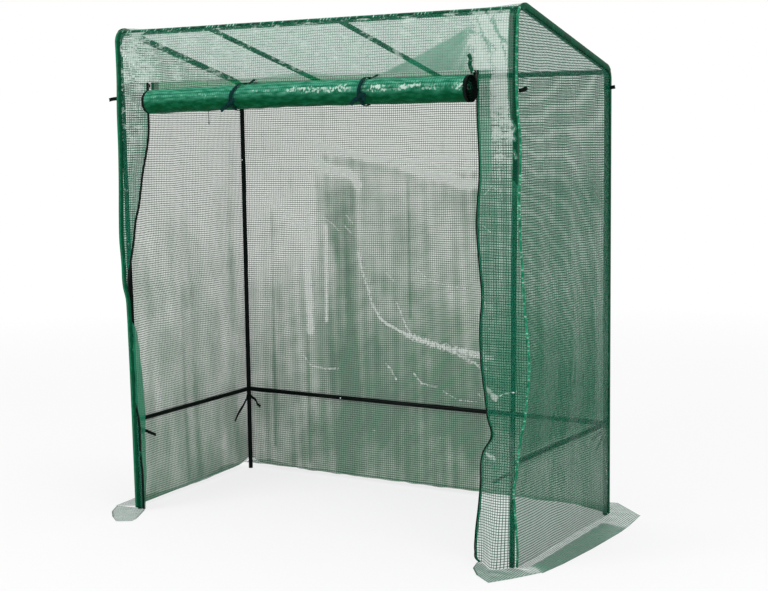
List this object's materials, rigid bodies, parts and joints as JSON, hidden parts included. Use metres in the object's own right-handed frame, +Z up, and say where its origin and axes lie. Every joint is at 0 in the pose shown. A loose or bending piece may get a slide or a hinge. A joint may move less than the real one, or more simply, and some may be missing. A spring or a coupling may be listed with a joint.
{
  "type": "tomato greenhouse",
  "caption": "Free-standing lean-to greenhouse for tomato plants: a plug-in steel tube frame under a green reinforced film cover, with a roll-up zipped door and ground skirts.",
  "frame": {"origin": "On the ground, under the middle of the object's bounding box.", "axes": "+X to the right of someone who stands before the door, +Y from the door to the rear wall, +Z up."},
  "size_m": [1.714, 1.01, 1.6648],
  "materials": {
    "tube_coat": "satin black plastic-coated steel tube",
    "film": "translucent green polyethylene film with a green thread grid",
    "tape": "black woven tape, zip tape and string",
    "button_steel": "bright steel"
  },
  "bodies": {
    "greenhouse": {"lower_post_front_left": "tube_coat", "main_post_front_left": "tube_coat", "top_corner_front_left": "tube_coat", "lower_post_front_right": "tube_coat", "main_post_front_right": "tube_coat", "top_corner_front_right": "tube_coat", "lower_post_rear_left": "tube_coat", "main_post_rear_left": "tube_coat", "top_corner_rear_left": "tube_coat", "lower_post_rear_right": "tube_coat", "main_post_rear_right": "tube_coat", "top_corner_rear_right": "tube_coat", "front_beam_left": "tube_coat", "front_beam_middle": "tube_coat", "front_beam_right": "tube_coat", "rear_beam_left": "tube_coat", "rear_beam_middle": "tube_coat", "rear_beam_right": "tube_coat", "gable_bar_left": "tube_coat", "gable_bar_right": "tube_coat", "roof_bar_1": "tube_coat", "roof_bar_2": "tube_coat", "ring_bar_left": "tube_coat", "ring_bar_right": "tube_coat", "ring_bar_rear_left": "tube_coat", "ring_bar_rear_middle": "tube_coat", "ring_bar_rear_right": "tube_coat", "snap_button_post": "button_steel", "snap_button_ring": "button_steel", "cover_roof": "film", "cover_header": "film", "cover_rear_wall": "film", "cover_left_wall": "film", "cover_right_wall": "film", "cover_left_flap": "film", "cover_right_flap": "film", "skirt_left": "film", "skirt_right": "film", "skirt_rear": "film", "skirt_front_left": "film", "skirt_front_right": "film", "door_curtain": "film", "zip_tape_left": "tape", "zip_tape_right": "tape", "door_tie_left": "tape", "door_tie_right": "tape", "corner_tab_front_left": "tape", "corner_tab_front_right": "tape", "corner_tab_rear_left": "tape", "corner_tab_rear_right": "tape", "inner_tie_front_left": "tape", "inner_tie_front_right": "tape", "inner_tie_rear_left": "tape", "inner_tie_rear_right": "tape", "loose_string": "tape"},
    "door": {"door_roll": "film"},
    "slider_left": {"zip_slider_left": "tape"},
    "slider_right": {"zip_slider_right": "tape"}
  },
  "joints": [
    {"name": "door_drop", "type": "slide", "parent": "greenhouse", "child": "door", "axis": [0, 0, -1], "range_m": [0, 1.37], "deforming": ["door_curtain", "door_tie_left", "door_tie_right"]},
    {"name": "zip_left", "type": "slide", "parent": "greenhouse", "child": "slider_left", "axis": [0, 0, -1], "range_m": [0, 1.37]},
    {"name": "zip_right", "type": "slide", "parent": "greenhouse", "child": "slider_right", "axis": [0, 0, -1], "range_m": [0, 1.37]}
  ],
  "couplings": [
    {"joint": "zip_left", "follows": "door_drop", "ratio": 1},
    {"joint": "zip_right", "follows": "door_drop", "ratio": 1}
  ]
}
